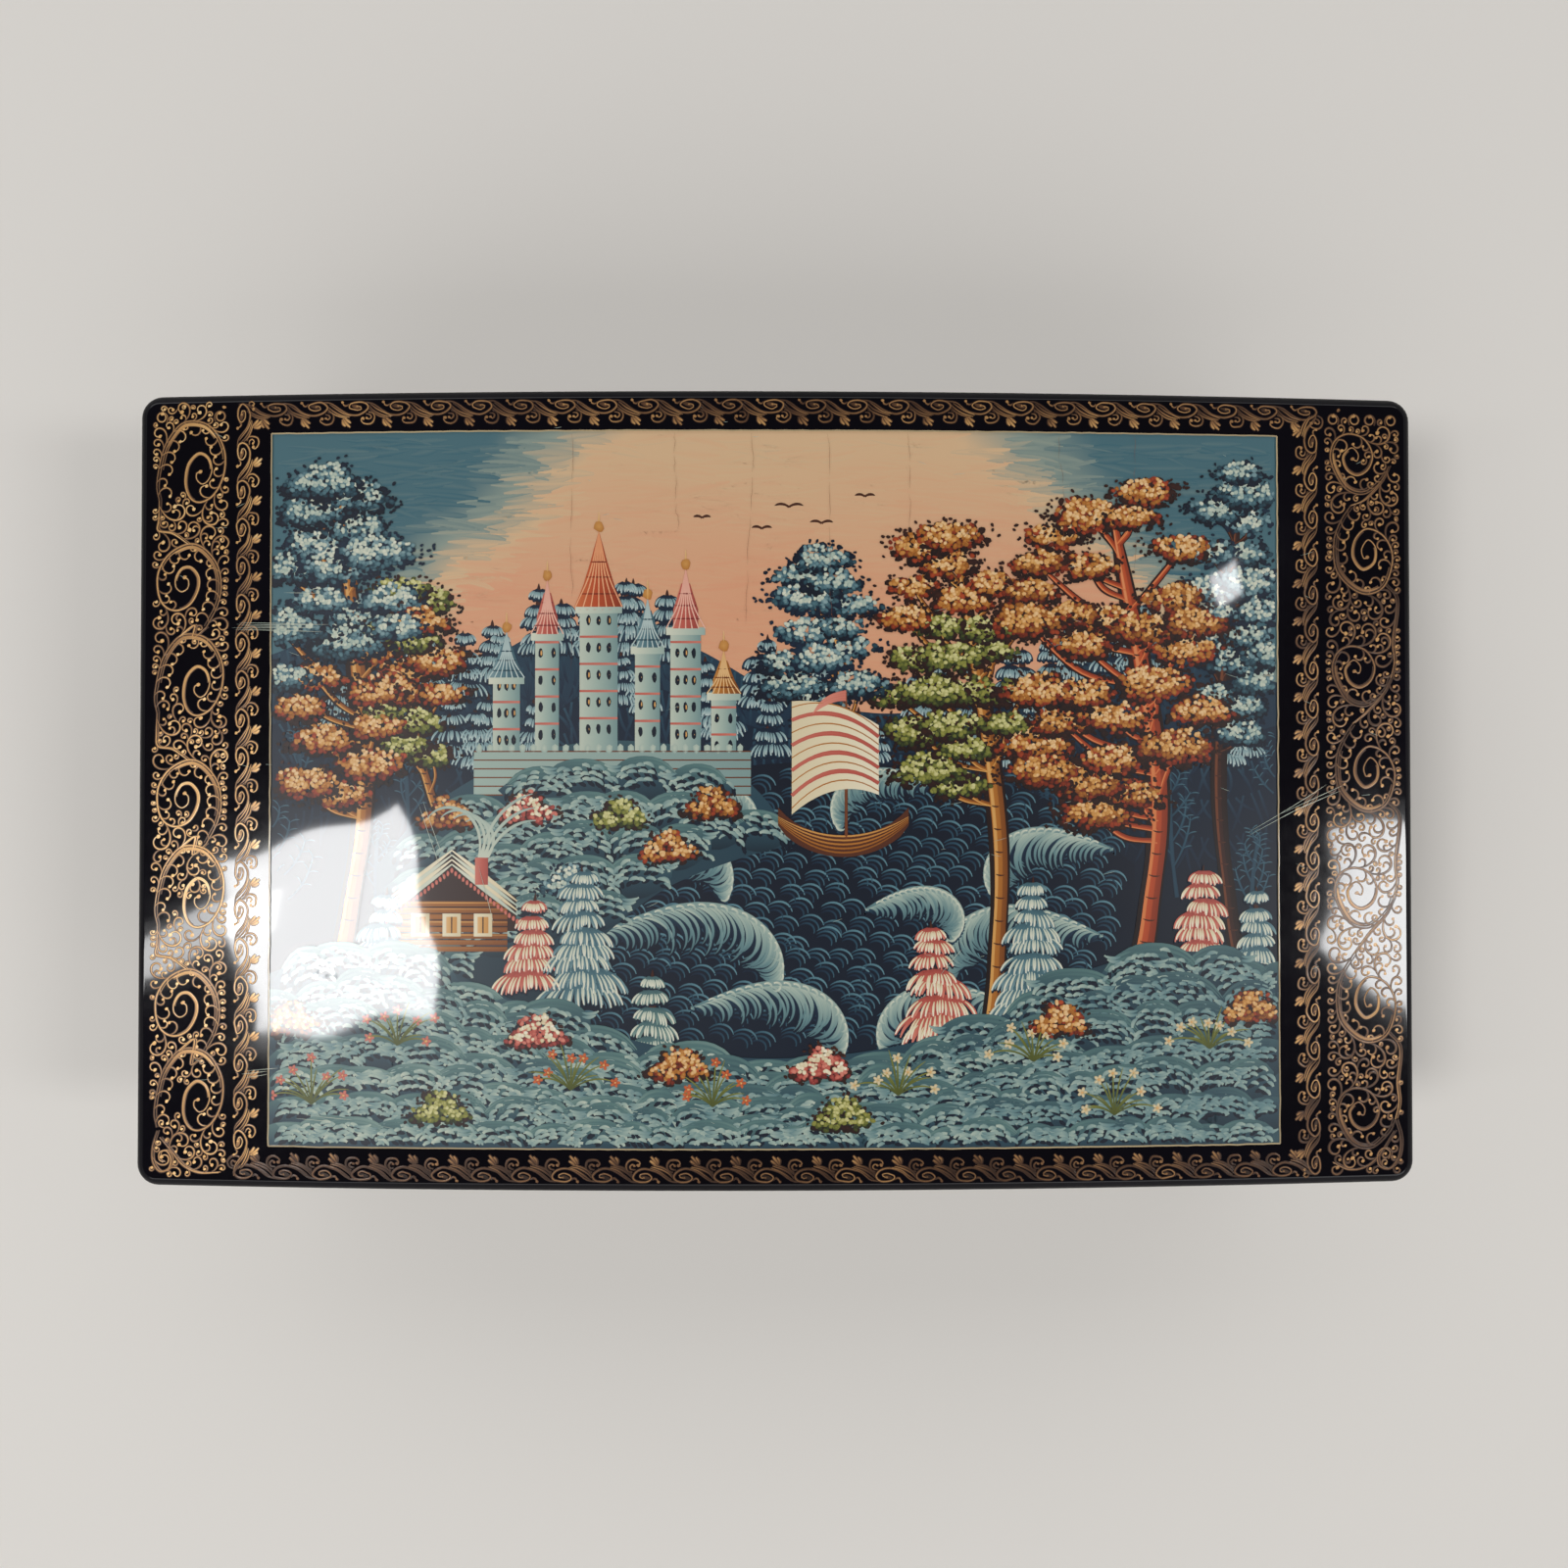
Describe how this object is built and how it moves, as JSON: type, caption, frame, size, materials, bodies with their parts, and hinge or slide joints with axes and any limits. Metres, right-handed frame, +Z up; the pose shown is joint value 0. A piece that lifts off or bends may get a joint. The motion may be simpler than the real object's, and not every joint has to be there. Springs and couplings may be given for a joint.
{
  "type": "lacquer box",
  "caption": "Rectangular papier-mache lacquer box with an arched lid on brass back hinges, an inner lip, gold scroll borders and a painted landscape on the lid.",
  "frame": {"origin": "centre of the underside of the base board, on the surface that the box stands on", "axes": "+Z up, +X to the right along the long side, -Y to the front, with the hinges at +Y"},
  "size_m": [0.24, 0.148, 0.0596],
  "materials": {
    "black_lacquer": "gloss",
    "red_lacquer": "gloss",
    "hinge_brass": "satin",
    "pin_steel": "satin"
  },
  "bodies": {
    "body": {"base_board": "black_lacquer", "wall_ring": "black_lacquer", "inner_liner": "red_lacquer", "left_hinge_body_leaf": "hinge_brass", "left_hinge_body_rivets": "hinge_brass", "left_hinge_pin": "pin_steel", "right_hinge_body_leaf": "hinge_brass", "right_hinge_body_rivets": "hinge_brass", "right_hinge_pin": "pin_steel"},
    "lid": {"lid_rim": "black_lacquer", "lid_panel": "black_lacquer", "left_hinge_lid_leaf": "hinge_brass", "left_hinge_lid_rivets": "hinge_brass", "right_hinge_lid_leaf": "hinge_brass", "right_hinge_lid_rivets": "hinge_brass"}
  },
  "joints": [
    {"name": "lid_hinge", "type": "hinge", "parent": "body", "child": "lid", "pos_m": [0, 0.06935, 0.04208], "axis": [-1, 0, 0], "range_deg": [0, 96]}
  ]
}
